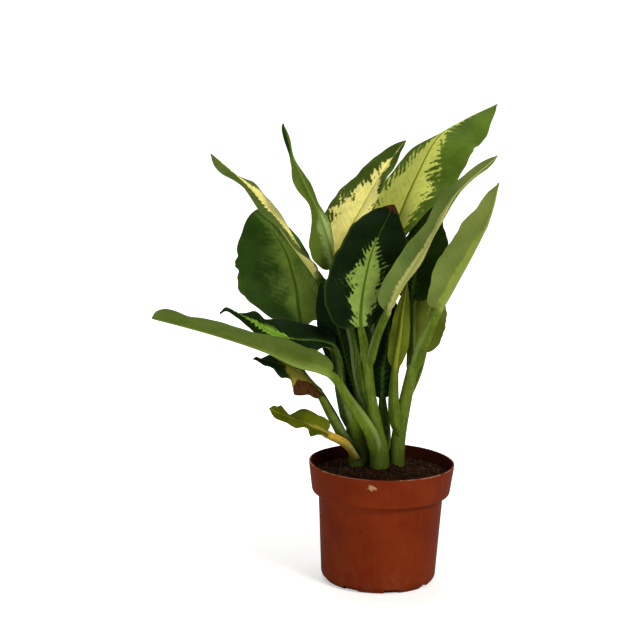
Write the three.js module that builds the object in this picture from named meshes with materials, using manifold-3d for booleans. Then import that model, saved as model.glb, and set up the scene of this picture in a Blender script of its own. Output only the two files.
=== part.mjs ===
// A potted dieffenbachia: four short canes with 17 broad leaves in a 12 cm nursery pot.
// Millimetres, +Z up, origin at the middle of the pot's flat underside. The plant's best side
// faces -Y.
import * as THREE from 'three';
import { mergeVertices } from 'three/addons/utils/BufferGeometryUtils.js';
import Module from 'manifold-3d';

const wasm = await Module();
wasm.setup();

// ---- driving dimensions -------------------------------------------------------------------

const CLEARANCE = 0.3; // left between two pieces that touch

const POT = {
  height: 100.5,
  rimRadius: 60, // outside, at the top
  bandHeight: 26, // the wide band under the rim
  bandRadius: 57, // outside, at the band's lower edge
  wallRadius: 51.5, // outside, just under the band
  footRadius: 47.5, // outside, just above the rounded bottom edge
  edgeRadius: 5,
  wall: 1.5,
  floor: 2.2,
  segments: 48,
  slots: 8, // drain slots cut through the rounded bottom edge
  slotLength: 13,
  slotHeight: 5,
};

const SOIL = {
  edgeHeight: 90, // where it meets the pot
  crownHeight: 97, // among the canes
  crownRadius: 26,
  lump: 0.7,
  rings: 4,
  segments: 28,
};

// Each cane: the points of its middle line with the radius there, from below the soil to its top.
const CANES = {
  main: [[-1, 1.5, 68, 8.8], [-2, 1, 105, 8], [-6.5, -1, 130, 6.2], [-12.5, -3, 161, 5.2],
    [-16, -4, 196, 4.4]],
  left: [[-18.5, 14, 68, 8.4], [-19, 13, 100, 8.2], [-23, 11, 126, 7.4], [-28, 9, 146, 5]],
  right: [[13, 10, 68, 7], [13, 10, 112, 6.2], [18, 9, 150, 5.3], [24, 8, 183, 4.6]],
  back: [[-4, 28, 68, 6], [-9, 26, 135, 5.4], [-19, 23, 175, 4.8], [-26, 20, 203, 4.2]],
};
const CANE_SIDES = 10;
const CANE_RING_SPACING = 6; // between the rings of points that shape it

const BLADE_THICKNESS = 0.9;
const STALK_RADIUS = 2.8; // half the stalk's width where the blade begins
const SHEATH_START = 0.5; // a sheath's width where it leaves the cane, over its full width
const SHEATH_OPENS = 0.2; // of the stalk's length, over which it opens to that width
const RIB_TIP_RADIUS = 0.5;
const STALK_DEPTH = 1.7; // a stalk's depth over its half width
const STALK_CHANNEL = 25; // degrees that the two edges of the stalk's flat top turn up
const TIP_HALF_WIDTH = 0.7;
const FOLD_WIDTH = 6; // half width below which the two halves open out flat
const SIDE_COLUMNS = 3; // from the midrib to each margin
const STALK_ROWS = 5;
const BLADE_ROWS = 13;

// Each leaf: the cane it grows from, the direction it heads in (degrees from +X, anticlockwise seen
// from above), the points of its stalk and midrib (stalkPoints of them belong to the stalk), and for
// its left and right half, looking out along it, the half's full width, how far it is lifted out of
// the flat (degrees, from the blade's base to its tip) and a trim that widens or narrows it from base
// to tip. sheath is half the stalk's width where it clasps the cane, roundness and taper set how
// full the blade is at its base and how fast it narrows, wave is the height of its waved edge, and
// under names the leaf whose sheath lies over this one's foot.
const LEAVES = {
  leaf_top_right: {
    cane: 'back', heading: 60, stalkPoints: 3, sheath: 4.5, roundness: 0.9, taper: 0.95, wave: 1.6,
    under: 'leaf_top_middle',
    path: [[-21, 22, 186], [-11, 28, 217], [-3, 29, 258], [8, 35, 298], [23, 44, 335],
      [39, 54, 364], [61, 64, 378], [88, 76, 390]],
    left: { width: 38, lift: [30, -25, -85], trim: [1, 1, 0.95, 0.7, 0.5] },
    right: { width: 40, lift: [55, 5, -20], trim: [1, 0.88, 0.9, 1, 1] },
  },
  leaf_top_middle: {
    cane: 'back', heading: 60, stalkPoints: 3, sheath: 4.2, roundness: 0.42, taper: 0.82, wave: 1.8,
    path: [[-26, 20, 200], [-34, 26, 229], [-42, 26, 255], [-32, 30, 287], [-19, 36, 312],
      [-6, 43, 335], [12, 50, 361]],
    left: { width: 30, lift: [5, -5, 5], trim: [1.1, 1.1, 1.1, 0.9, 0.9] },
    right: { width: 20, lift: [60, 45, 30] },
  },
  leaf_narrow: {
    cane: 'main', heading: -60, stalkPoints: 6, sheath: 3.8, roundness: 0.5, taper: 0.8, wave: 2.2,
    path: [[-7, -1, 134], [-16, -3, 152], [-23, -4, 175], [-27, -2, 200], [-35, 2, 228],
      [-46, 10, 259], [-52, 9, 281], [-60, 7, 304], [-72, 5, 330], [-82, 5, 352], [-89, 8, 377]],
    left: { width: 17, lift: [25, 30, 25], trim: [0.9, 0.7, 0.6, 0.45, 1] },
    right: { width: 26, lift: [-15, -45, -45], trim: [1, 1.2, 0.4, 1.4, 0.35, 1] },
  },
  leaf_striped: {
    cane: 'back', heading: 190, stalkPoints: 4, sheath: 4.2, roundness: 0.5, taper: 0.6, wave: 1.5,
    under: 'leaf_broad_left',
    path: [[-18, 22, 165], [-40, 22, 212], [-52, 19, 245], [-57, 14, 255], [-75, 7, 279],
      [-94, 0, 304], [-117, -8, 330], [-145, -16, 354]],
    left: { width: 27, lift: [10, -5, -20], trim: [0.5, 1, 1, 0.6, 1.2] },
    right: { width: 25, lift: [5, 20, 0], trim: [0.9, 0.9, 1.2, 0.5, 1.2] },
  },
  leaf_broad_left: {
    cane: 'back', heading: 100, stalkPoints: 4, sheath: 4.6, roundness: 0.6, taper: 0.68, wave: 1.5,
    path: [[-12, 24, 140], [-26, 22, 168], [-44, 18, 194], [-67, 13, 208], [-72, 18, 222],
      [-75, 26, 240], [-84, 38, 266], [-97, 46, 284], [-112, 50, 298]],
    left: { width: 44, lift: [-50, -10, 0], trim: [0.6, 1.2, 1, 1, 1.1] },
    right: { width: 40, lift: [-20, -40, -35], trim: [1.35, 1.3, 0.9, 0.9, 1] },
  },
  leaf_curled: {
    cane: 'left', heading: 185, stalkPoints: 5, sheath: 5.2, roundness: 0.44, taper: 0.78, wave: 2,
    under: 'leaf_yellowing',
    path: [[-23, 11, 122], [-29, 6.5, 144], [-33.5, 2, 162], [-37, -1, 182], [-43, -3, 197],
      [-56, -5, 202], [-73, -12, 204], [-91, -20, 210], [-109, -28, 221], [-127, -34, 232],
      [-135, -36, 229]],
    left: { width: 22, lift: [-15, -10, -5], trim: [0.7, 0.8, 0.9, 1, 1] },
    right: { width: 24, lift: [50, 25, -10], trim: [0.7, 0.95, 1, 0.8, 0.9] },
  },
  leaf_long_left: {
    cane: 'main', heading: 215, stalkPoints: 4, sheath: 5.2, roundness: 0.4, taper: 0.58, wave: 1.2,
    path: [[-2, 1, 100], [-9, -8, 127], [-29, -13, 156], [-45, -14, 177], [-72, -24, 187],
      [-98, -36, 201], [-138, -52, 216], [-187, -66, 230]],
    left: { width: 32, lift: [60, 30, 45], trim: [0.6, 0.8, 0.78, 0.9, 0.7, 1.7] },
    right: { width: 17, lift: [-10, 5, 25] },
  },
  leaf_yellowing: {
    cane: 'left', heading: 200, stalkPoints: 4, sheath: 5.2, roundness: 0.4, taper: 0.9, wave: 2.5,
    under: 'leaf_lowest',
    path: [[-21, 12.5, 106], [-33, 1, 128], [-43, -5, 145], [-51, -6, 158], [-61, -7, 170],
      [-76, -10, 180], [-93, -20, 187], [-107, -30, 191]],
    left: { width: 20, lift: [-45, -55, -30], trim: [1, 0.9, 0.6, 0.7, 1] },
    right: { width: 18, lift: [20, 10, 5] },
  },
  leaf_lowest: {
    cane: 'left', heading: 205, stalkPoints: 4, sheath: 2.8, roundness: 0.4, taper: 0.85, wave: 2.5,
    path: [[-21, 13, 100], [-20, 3, 104], [-29, -8, 117], [-46, -13, 126], [-60, -15, 133],
      [-72, -20, 139], [-84, -28, 145], [-93, -34, 151]],
    left: { width: 17, lift: [-10, -5, -50] },
    right: { width: 16, lift: [80, 15, 60] },
  },
  leaf_front: {
    cane: 'main', heading: 80, stalkPoints: 3, sheath: 4.4, roundness: 0.4, taper: 0.82, wave: 1.6,
    under: 'leaf_right',
    path: [[-15, -4, 180], [-17.5, -8, 199], [-21, -12, 216], [-21, -11, 236], [-18, -8, 258],
      [-12, -3, 282], [3, 6, 314]],
    left: { width: 34, lift: [25, 50, 35] },
    right: { width: 30, lift: [-10, -15, 0], trim: [0.7, 0.9, 1.1, 1.2, 1] },
  },
  leaf_right: {
    cane: 'main', heading: -60, stalkPoints: 3, sheath: 3.6, roundness: 0.38, taper: 0.82, wave: 1.2,
    under: 'leaf_narrow',
    path: [[-14, -4, 180], [-8, -14, 209], [0, -23, 232], [7, -28, 250], [25, -38, 283],
      [48, -52, 331], [80, -64, 366]],
    left: { width: 20, lift: [40, 42, 15], trim: [1, 0.85, 0.7, 0.7, 0.8] },
    right: { width: 18, lift: [50, 85, 75], trim: [1, 0.8, 0.7, 0.7, 1] },
  },
  leaf_far_right: {
    cane: 'right', heading: -50, stalkPoints: 3, sheath: 4.8, roundness: 0.45, taper: 0.95, wave: 1.2,
    path: [[23, 8, 176], [32, 0, 208], [41, -6, 232], [51, -12, 252], [66, -24, 284],
      [77, -36, 312], [83, -46, 342]],
    left: { width: 20, lift: [50, 40, 45] },
    right: { width: 30, lift: [15, 20, 25], trim: [0.8, 0.85, 0.9, 1, 1] },
  },
  leaf_behind_right: {
    cane: 'right', heading: 60, stalkPoints: 3, sheath: 3.3, roundness: 0.45, taper: 0.95, wave: 1.5,
    under: 'leaf_small_right',
    path: [[21, 9, 166], [21, 16, 203], [21, 15, 234], [23, 20, 254], [27, 28, 273],
      [33, 38, 293], [40, 46, 312]],
    left: { width: 21, lift: [0, 5, 5] },
    right: { width: 26, lift: [5, 10, 40] },
  },
  leaf_olive: {
    cane: 'right', heading: -90, stalkPoints: 3, sheath: 6, roundness: 0.4, taper: 0.9, wave: 1,
    under: 'leaf_dark_right',
    path: [[14, 10, 120], [8.5, 6, 146], [8.5, 3, 180], [11, 2, 203], [13, 2, 227], [16, 4, 250]],
    left: { width: 8.5, lift: [10, 20, 20] },
    right: { width: 8.5, lift: [10, 20, 20] },
  },
  leaf_small_right: {
    cane: 'right', heading: 80, stalkPoints: 3, sheath: 2.7, roundness: 0.5, taper: 0.85, wave: 1.5,
    under: 'leaf_far_right',
    path: [[17, 9, 146], [27, 12, 170], [32, 18, 190], [34, 25, 206], [37, 30, 224], [42, 36, 246]],
    left: { width: 18, lift: [15, 15, 15] },
    right: { width: 15, lift: [5, 5, 5] },
  },
  leaf_dark_middle: {
    cane: 'main', heading: 95, stalkPoints: 3, sheath: 4, roundness: 0.8, taper: 0.8, wave: 1.5,
    under: 'leaf_dark_right',
    path: [[-5, 0, 121], [-11, 8, 134], [-20, 13, 148], [-27, 13.5, 168], [-34, 13, 191],
      [-43, 13, 220], [-49, 12, 236], [-54, 11, 248]],
    left: { width: 17, lift: [8, 5, 5] },
    right: { width: 26, lift: [15, 15, 10] },
  },
  leaf_dark_right: {
    cane: 'main', heading: 80, stalkPoints: 4, sheath: 6.5, roundness: 0.5, taper: 0.9, wave: 1.5,
    path: [[-1, 2, 102], [1.5, 8, 118], [0.5, 9, 135], [-1, 9, 152], [-1, 10, 176], [2, 14, 200],
      [3, 18, 218], [4, 22, 240]],
    left: { width: 16, lift: [-5, -5, -10] },
    right: { width: 14, lift: [-10, -10, -10] },
  },
};

const COLOURS = {
  pot: 0x7a2f14, soil: 0x1e130b, cane: 0x6d8f3a, leaf: 0x2f5a1f, paleLeaf: 0xb9c25e,
  oliveLeaf: 0x77803a,
};
const PALE_LEAVES = ['leaf_top_right', 'leaf_top_middle', 'leaf_striped'];
const OLIVE_LEAVES = ['leaf_lowest', 'leaf_yellowing', 'leaf_olive'];

// ---- helpers ------------------------------------------------------------------------------

const lerp = THREE.MathUtils.lerp;
const vector = ([x, y, z]) => new THREE.Vector3(x, y, z);

// One value of a list of stations spread evenly over 0 to 1, eased between neighbours.
function eased(stations, t) {
  const place = t * (stations.length - 1);
  const from = Math.min(Math.floor(place), stations.length - 2);
  const part = place - from;
  return lerp(stations[from], stations[from + 1], part * part * (3 - 2 * part));
}

function toSolid(geometry) {
  const bare = geometry.index ? geometry.clone() : mergeVertices(geometry.clone());
  bare.deleteAttribute('normal');
  bare.deleteAttribute('uv');
  const merged = mergeVertices(bare, 1e-4);
  const index = Array.from(merged.index.array);
  const triangles = [];
  for (let i = 0; i < index.length; i += 3) {
    const [a, b, c] = index.slice(i, i + 3);
    if (a !== b && b !== c && c !== a) triangles.push(a, b, c);
  }
  return new wasm.Manifold(new wasm.Mesh({
    numProp: 3,
    vertProperties: new Float32Array(merged.attributes.position.array),
    triVerts: new Uint32Array(triangles),
  }));
}

function toGeometry(solid) {
  const mesh = solid.getMesh();
  const geometry = new THREE.BufferGeometry();
  geometry.setAttribute('position', new THREE.BufferAttribute(mesh.vertProperties, 3));
  geometry.setIndex(new THREE.BufferAttribute(mesh.triVerts, 1));
  return geometry;
}

function largestBody(solid) {
  const bodies = solid.decompose();
  return bodies.reduce((best, body) => (body.volume() > best.volume() ? body : best));
}

// A closed solid through rings of equally many points, each ring running the same way round.
function loft(rings) {
  const around = rings[0].length;
  const points = rings.flat();
  const index = [];
  for (let i = 0; i + 1 < rings.length; i += 1) {
    for (let j = 0; j < around; j += 1) {
      const a = i * around + j;
      const b = i * around + ((j + 1) % around);
      index.push(a, b, b + around, a, b + around, a + around);
    }
  }
  const last = (rings.length - 1) * around;
  for (let j = 1; j + 1 < around; j += 1) {
    index.push(0, j + 1, j, last, last + j, last + j + 1);
  }
  const geometry = new THREE.BufferGeometry().setFromPoints(points);
  geometry.setIndex(index);
  return geometry;
}

// A square frame (along, side, up) at each of a row of points; side stays level-headed.
function framesAlong(points, levelSide) {
  return points.map((point, i) => {
    const before = points[Math.max(i - 1, 0)];
    const after = points[Math.min(i + 1, points.length - 1)];
    const along = after.clone().sub(before).normalize();
    const side = levelSide.clone().addScaledVector(along, -levelSide.dot(along)).normalize();
    return { point, along, side, up: along.clone().cross(side) };
  });
}

// ---- pot and soil -------------------------------------------------------------------------

// The pot's outline from the axis at its underside, up the outside, and down the inside.
function potProfile() {
  const { height, bandHeight, rimRadius, bandRadius, wallRadius, footRadius } = POT;
  const { edgeRadius, wall, floor } = POT;
  const bandFoot = height - bandHeight;
  const profile = [[0, 0], [footRadius - edgeRadius, 0]];
  for (const turn of [-60, -30, 0]) {
    const angle = THREE.MathUtils.degToRad(turn);
    profile.push([footRadius - edgeRadius + edgeRadius * Math.cos(angle),
      edgeRadius + edgeRadius * Math.sin(angle)]);
  }
  profile.push([wallRadius, bandFoot], [bandRadius, bandFoot + 1.2],
    [rimRadius - 0.4, height - 3], [rimRadius, height - 2.4], [rimRadius, height - 0.4],
    [rimRadius - 0.4, height], [rimRadius - wall, height], [bandRadius - wall, bandFoot + 4],
    [wallRadius - wall, bandFoot - 1], [footRadius - wall, edgeRadius],
    [footRadius - edgeRadius, floor], [0, floor]);
  return profile.map(([r, z]) => new THREE.Vector2(r, z));
}

function lathe(profile, segments) {
  return new THREE.LatheGeometry(profile, segments).rotateX(Math.PI / 2);
}

function potSolid() {
  let pot = toSolid(lathe(potProfile(), POT.segments));
  for (let k = 0; k < POT.slots; k += 1) {
    const slot = new THREE.BoxGeometry(12, POT.slotLength, POT.slotHeight);
    slot.translate(POT.footRadius - 1, 0, POT.slotHeight / 2 - 1);
    slot.rotateZ(2 * Math.PI * ((k + 0.3) / POT.slots));
    pot = pot.subtract(toSolid(slot));
  }
  return pot;
}

// The inside radius of the pot at a height.
function insideRadius(z) {
  const { height, bandHeight, rimRadius, bandRadius, wallRadius, footRadius } = POT;
  const bandFoot = height - bandHeight;
  const outside = z < bandFoot
    ? lerp(footRadius, wallRadius, (z - POT.edgeRadius) / (bandFoot - POT.edgeRadius))
    : lerp(bandRadius, rimRadius, (z - bandFoot) / bandHeight);
  return outside - POT.wall;
}

// The soil's uneven top: a low mound among the canes.
function soilHeight(x, y) {
  const r = Math.hypot(x, y - 8);
  const mound = Math.exp(-((r / SOIL.crownRadius) ** 2));
  const lumps = Math.sin(x / 5.5 + 1) * Math.cos(y / 4.7) + 0.6 * Math.sin((x + 2 * y) / 7.3);
  return lerp(SOIL.edgeHeight, SOIL.crownHeight, mound) + SOIL.lump * lumps;
}

function soilSolid() {
  const bandFoot = POT.height - POT.bandHeight;
  const sides = [
    [insideRadius(bandFoot + 5) - 0.6, bandFoot + 5],
    [insideRadius(bandFoot - 1) - CLEARANCE, bandFoot - 1],
    [insideRadius(POT.edgeRadius + 1) - CLEARANCE, POT.edgeRadius + 1],
    [POT.footRadius - POT.edgeRadius - 1.5, POT.floor + CLEARANCE],
  ];
  const rimRadius = insideRadius(SOIL.edgeHeight) - 0.6;
  const rings = [];
  for (let i = 1; i <= SOIL.rings; i += 1) rings.push({ r: (rimRadius * i) / SOIL.rings });
  sides.forEach(([r, z]) => rings.push({ r, z }));
  const points = rings.map(({ r, z }) => Array.from({ length: SOIL.segments }, (_, j) => {
    const angle = (2 * Math.PI * j) / SOIL.segments;
    const x = r * Math.cos(angle);
    const y = r * Math.sin(angle);
    return new THREE.Vector3(x, y, z ?? soilHeight(x, y));
  }));
  return toSolid(loft(points.reverse()));
}

// ---- canes --------------------------------------------------------------------------------

// A cane's tube, each radius grown by extra.
function caneSolid(stations, extra = 0) {
  const curve = new THREE.CatmullRomCurve3(stations.map(vector), false, 'catmullrom');
  curve.arcLengthDivisions = 60;
  const length = curve.getLength();
  const rows = Math.round(length / CANE_RING_SPACING);
  const points = Array.from({ length: rows + 1 }, (_, i) => curve.getPointAt(i / rows));
  const rings = framesAlong(points, new THREE.Vector3(0, 1, 0)).map(({ point, side, up }, i) => {
    const radius = eased(stations.map((station) => station[3]), i / rows) + extra;
    return Array.from({ length: CANE_SIDES }, (_, j) => {
      const angle = (2 * Math.PI * j) / CANE_SIDES;
      return point.clone()
        .addScaledVector(side, radius * Math.cos(angle))
        .addScaledVector(up, radius * Math.sin(angle));
    });
  });
  return toSolid(loft(rings));
}

// ---- leaves -------------------------------------------------------------------------------

// Points evenly spaced along the stalk, then along the blade.
function leafLine({ path, stalkPoints }) {
  const curve = new THREE.CatmullRomCurve3(path.map(vector), false, 'catmullrom');
  const steps = 40;
  curve.arcLengthDivisions = steps * (path.length - 1);
  const lengths = curve.getLengths();
  const baseShare = lengths[steps * (stalkPoints - 1)] / lengths[lengths.length - 1];
  const shares = [];
  for (let i = 0; i < STALK_ROWS; i += 1) shares.push((baseShare * i) / STALK_ROWS);
  for (let i = 0; i < BLADE_ROWS; i += 1) {
    shares.push(lerp(baseShare, 1, i / (BLADE_ROWS - 1)));
  }
  return shares.map((share) => curve.getPointAt(Math.min(share, 1)));
}

// How wide the blade is along its length, 1 at its widest.
function fullness(t, roundness, taper) {
  const widest = roundness / (roundness + taper);
  return (t / widest) ** roundness * ((1 - t) / (1 - widest)) ** taper;
}

// The leaf's middle surface as rows of points from its left margin to its right one, with half
// the stalk's or midrib's width at each row. grown widens it all round.
function leafRows(leaf, grown) {
  const turn = THREE.MathUtils.degToRad(leaf.heading);
  const levelSide = new THREE.Vector3(-Math.sin(turn), Math.cos(turn), 0);
  return framesAlong(leafLine(leaf), levelSide).map(({ point, along, side, up }, i) => {
    const onBlade = i >= STALK_ROWS;
    const t = onBlade ? (i - STALK_ROWS) / (BLADE_ROWS - 1) : i / STALK_ROWS;
    const full = onBlade ? fullness(t, leaf.roundness, leaf.taper) : 0;
    const ribRadius = onBlade
      ? lerp(STALK_RADIUS, RIB_TIP_RADIUS, t)
      : lerp(leaf.sheath, STALK_RADIUS, t ** 1.3)
        * lerp(SHEATH_START, 1, Math.min(t / SHEATH_OPENS, 1));
    const row = [];
    for (let j = -SIDE_COLUMNS; j <= SIDE_COLUMNS; j += 1) {
      const share = Math.abs(j) / SIDE_COLUMNS;
      const half = j < 0 ? leaf.left : leaf.right;
      const least = onBlade ? Math.max(STALK_RADIUS * (1 - t), TIP_HALF_WIDTH) : ribRadius;
      const fullWidth = half.width * eased(half.trim ?? [1, 1], t) * full;
      const width = Math.max(fullWidth, least) + grown;
      const spread = Math.min((width - ribRadius) / (3 * STALK_RADIUS), 1);
      const across = width * share ** (1 + 0.9 * Math.max(spread, 0));
      const lifts = [half, j < 0 ? leaf.right : leaf.left].map(({ lift }) => (
        onBlade ? eased(lift, t) : lerp(STALK_CHANNEL, lift[0], t)));
      const fold = ((lifts[0] + lifts[1]) / 2) * Math.min(width / FOLD_WIDTH, 1);
      const angle = THREE.MathUtils.degToRad(fold + (lifts[0] - lifts[1]) / 2);
      const phase = j < 0 ? 0 : 2.1;
      const wave = onBlade ? leaf.wave * Math.sin(6 * Math.PI * t + phase) * Math.min(full, 1) : 0;
      const lobe = onBlade ? 0.35 * share ** 1.5 * (1 - t) ** 5 : 0;
      const sweep = onBlade ? 0.2 * share : 0;
      row.push(point.clone()
        .addScaledVector(side, (j < 0 ? 1 : -1) * across * Math.cos(angle))
        .addScaledVector(up, across * Math.sin(angle) + wave * share * share)
        .addScaledVector(along, (sweep - lobe) * width * (full > 0 ? 1 : 0)));
    }
    return { row, ribRadius: ribRadius + grown, along: full > 0 ? null : along };
  });
}

// A leaf as one closed solid: flat above, with the stalk and the midrib swelling below.
function leafSolid(leaf, grown = 0) {
  const rows = leafRows(leaf, grown);
  const columns = 2 * SIDE_COLUMNS + 1;
  const thickness = BLADE_THICKNESS / 2 + grown;
  const above = [];
  const below = [];
  rows.forEach(({ row, ribRadius, along }, i) => {
    const normals = row.map((point, j) => {
      const ahead = rows[Math.min(i + 1, rows.length - 1)].row[j];
      const behind = rows[Math.max(i - 1, 0)].row[j];
      const left = row[Math.max(j - 1, 0)];
      const right = row[Math.min(j + 1, columns - 1)];
      const forward = along ?? ahead.clone().sub(behind);
      return forward.clone().cross(left.clone().sub(right)).normalize();
    });
    row.forEach((point, j) => {
      const across = point.distanceTo(row[SIDE_COLUMNS]) / (ribRadius * 1.05);
      const swell = across < 1 ? Math.sqrt(1 - across * across) : 0;
      above.push(point.clone().addScaledVector(normals[j], thickness));
      below.push(point.clone()
        .addScaledVector(normals[j], -thickness)
        .addScaledVector(normals[SIDE_COLUMNS], -STALK_DEPTH * ribRadius * swell));
    });
  });
  const count = above.length;
  const index = [];
  const quad = (a, b, c, d) => index.push(a, b, c, a, c, d);
  for (let i = 0; i + 1 < rows.length; i += 1) {
    for (let j = 0; j + 1 < columns; j += 1) {
      const a = i * columns + j;
      const d = a + columns;
      index.push(a, a + 1, d + 1, a, d + 1, d);
      index.push(count + a, count + d + 1, count + a + 1, count + a, count + d, count + d + 1);
    }
    const a = i * columns;
    quad(a, a + columns, a + columns + count, a + count);
    const b = a + columns - 1;
    quad(b, b + count, b + columns + count, b + columns);
  }
  const tip = (rows.length - 1) * columns;
  for (let j = 0; j + 1 < columns; j += 1) {
    quad(j, j + count, j + 1 + count, j + 1);
    quad(tip + j, tip + j + 1, tip + j + 1 + count, tip + j + count);
  }
  const geometry = new THREE.BufferGeometry().setFromPoints([...above, ...below]);
  geometry.setIndex(index);
  return toSolid(geometry);
}

// ---- the plant ----------------------------------------------------------------------------

const part = new THREE.Group();

function addPiece(name, solid, color, roughness) {
  const geometry = toGeometry(solid);
  const mesh = new THREE.Mesh(geometry, new THREE.MeshStandardMaterial({ color, roughness }));
  mesh.name = name;
  part.add(mesh);
}

addPiece('pot', potSolid(), COLOURS.pot, 0.5);

const caneHoles = Object.values(CANES).map((stations) => caneSolid(stations, CLEARANCE + 0.1));
const soil = caneHoles.reduce((solid, hole) => solid.subtract(hole), soilSolid());
addPiece('soil', largestBody(soil), COLOURS.soil, 0.95);

for (const [name, stations] of Object.entries(CANES)) {
  addPiece(`cane_${name}`, caneSolid(stations), COLOURS.cane, 0.5);
}

for (const [name, leaf] of Object.entries(LEAVES)) {
  let cut = leafSolid(leaf).subtract(caneSolid(CANES[leaf.cane], CLEARANCE));
  if (leaf.under) cut = cut.subtract(leafSolid(LEAVES[leaf.under], CLEARANCE));
  const pale = PALE_LEAVES.includes(name) ? COLOURS.paleLeaf : COLOURS.leaf;
  addPiece(name, largestBody(cut), OLIVE_LEAVES.includes(name) ? COLOURS.oliveLeaf : pale, 0.4);
}

export default part;
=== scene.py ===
"""A potted dieffenbachia dressed for its portrait: fine leaves, canes, soil and a nursery pot.

Everything is in metres, +Z up, in the frame of the solids. Sizes marked mm are turned to metres by
MM. The plant's best side faces -Y, where the camera stands.
"""
import math

import bpy
import numpy as np
from mathutils import Matrix, Vector


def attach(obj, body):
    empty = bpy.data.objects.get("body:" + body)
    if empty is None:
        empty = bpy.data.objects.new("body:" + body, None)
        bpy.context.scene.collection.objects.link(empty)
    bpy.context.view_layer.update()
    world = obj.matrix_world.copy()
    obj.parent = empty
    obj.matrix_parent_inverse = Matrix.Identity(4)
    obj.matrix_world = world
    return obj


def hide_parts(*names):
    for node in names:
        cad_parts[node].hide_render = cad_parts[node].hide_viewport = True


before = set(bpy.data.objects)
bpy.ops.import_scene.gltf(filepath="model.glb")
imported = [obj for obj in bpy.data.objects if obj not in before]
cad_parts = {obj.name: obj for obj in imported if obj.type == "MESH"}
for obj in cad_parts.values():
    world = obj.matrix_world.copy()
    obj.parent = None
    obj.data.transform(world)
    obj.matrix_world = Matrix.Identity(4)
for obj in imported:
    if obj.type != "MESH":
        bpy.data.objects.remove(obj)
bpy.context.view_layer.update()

MM = 0.001


def srgb(red, green, blue):
    """A colour as it shows on a screen, 0 to 255, as the linear value that Blender works in."""
    shares = [c / 255 for c in (red, green, blue)]
    linear = [c / 12.92 if c <= 0.04045 else ((c + 0.055) / 1.055) ** 2.4 for c in shares]
    return (*linear, 1.0)


# ---- sizes ----

POT_HEIGHT = 100.5  # mm, as are the sizes below
# The pot's outline from the axis at its underside, up the outside and down the inside:
# radius, height and the rounding of the corner there.
POT_OUTLINE = [
    (0, 0, 0), (42.4, 0, 0.6), (43.6, 0.35, 1), (47.4, 4.4, 3.4), (51.5, 74.5, 0.5),
    (56.2, 75.3, 0.8), (57.05, 76.8, 1.2), (59.85, 97.6, 0.5), (60, POT_HEIGHT, 0.55),
    (58.5, POT_HEIGHT, 0.55), (55.6, 78.6, 2), (50, 73.6, 2), (46, 5, 2.4), (42.5, 2.2, 1),
    (0, 2.2, 0),
]
POT_SEGMENTS = 192
SLOTS = 8
SLOT_FIRST = 0.3  # where the first one is, in steps from one slot to the next
SLOT_RADIUS = 46.5  # from the axis to a slot's middle
SLOT_HALF_DEPTH = 6
SLOT_SIDES = (6.5, -2), (6.2, 4)  # half its width and its height there, below and above

SOIL_EDGE = 90
SOIL_CROWN = 97
SOIL_CROWN_RADIUS = 26
SOIL_RADIUS = 56.8  # at the top edge, against the pot
SOIL_SIDE = (54.6, 79.5), (49.3, 73.5), (45.9, 6), (41, 2.6)  # radius and height, going down
SOIL_RINGS = 60
SOIL_SEGMENTS = 160

# Each cane: the points of its middle line with the radius there, from below the soil to its top.
CANES = {
    "main": [(-1, 1.5, 68, 8.8), (-2, 1, 105, 8), (-6.5, -1, 130, 6.2), (-12.5, -3, 161, 5.2),
             (-16, -4, 196, 4.4)],
    "left": [(-18.5, 14, 68, 8.4), (-19, 13, 100, 8.2), (-23, 11, 126, 7.4), (-28, 9, 146, 5)],
    "right": [(13, 10, 68, 7), (13, 10, 112, 6.2), (18, 9, 150, 5.3), (24, 8, 183, 4.6)],
    "back": [(-4, 28, 68, 6), (-9, 26, 135, 5.4), (-19, 23, 175, 4.8), (-26, 20, 203, 4.2)],
}

CANE_ROWS = 150
CANE_SIDES = 40
CANE_TOP = 4.5  # below its top, where a cane starts to close

BLADE_THICKNESS = 0.7
MARGIN_THICKNESS = 0.35
STALK_RADIUS = 2.8
STALK_DEPTH = 1.7  # of the stalk's underside, over the radius
STALK_CHANNEL = 25  # degrees that the stalk's sides rise
SHEATH_START = 0.5  # a sheath's width where it leaves the cane, over its full width
SHEATH_OPENS = 0.2  # of the stalk's length, over which it opens to that width
RIB_TIP_RADIUS = 0.5
TIP_HALF_WIDTH = 0.7
FOLD_WIDTH = 6  # a narrower blade folds less
CUP = 14  # degrees that a wide half bends down between its rib and its edge
QUILT = 0.16  # height between side veins
CRUMPLE = 1.1  # height of the wrinkles of a dry patch
STALK_ROWS = 44
BLADE_ROWS = 150
SIDE_COLUMNS = 22
LINE_STEPS = 60  # of a smooth curve, from one given point to the next

# ---- colours ----

DARK_FACE = srgb(32, 54, 12)
GREEN_FACE = srgb(66, 92, 20)
GREEN_RIB = srgb(120, 132, 50)
CREAM = srgb(248, 238, 142)
LIME = srgb(196, 202, 96)
OLIVE_BACK = srgb(110, 128, 48)
PALE_RIB = srgb(206, 202, 112)
STALK_GREEN = srgb(92, 112, 26)
# A darker copy of the stalk green: painted shade for stalks that stand in shadow.
STALK_IN_PAINTED_SHADE = srgb(50, 72, 16)
BLACK = (0, 0, 0, 1)
BACK_SHADE = (0.01, 0.02, 0, 1)
STEM_SHADE = (0.01, 0.03, 0, 1)
STEM_FIBRE = srgb(156, 176, 92)
STEM_FLECK = srgb(176, 192, 120)
STEM_FOOT_PAINTED_SHADE = srgb(48, 60, 18)
SHEATH_EDGE_AND_HIGHLIGHT = srgb(170, 188, 120)
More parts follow.
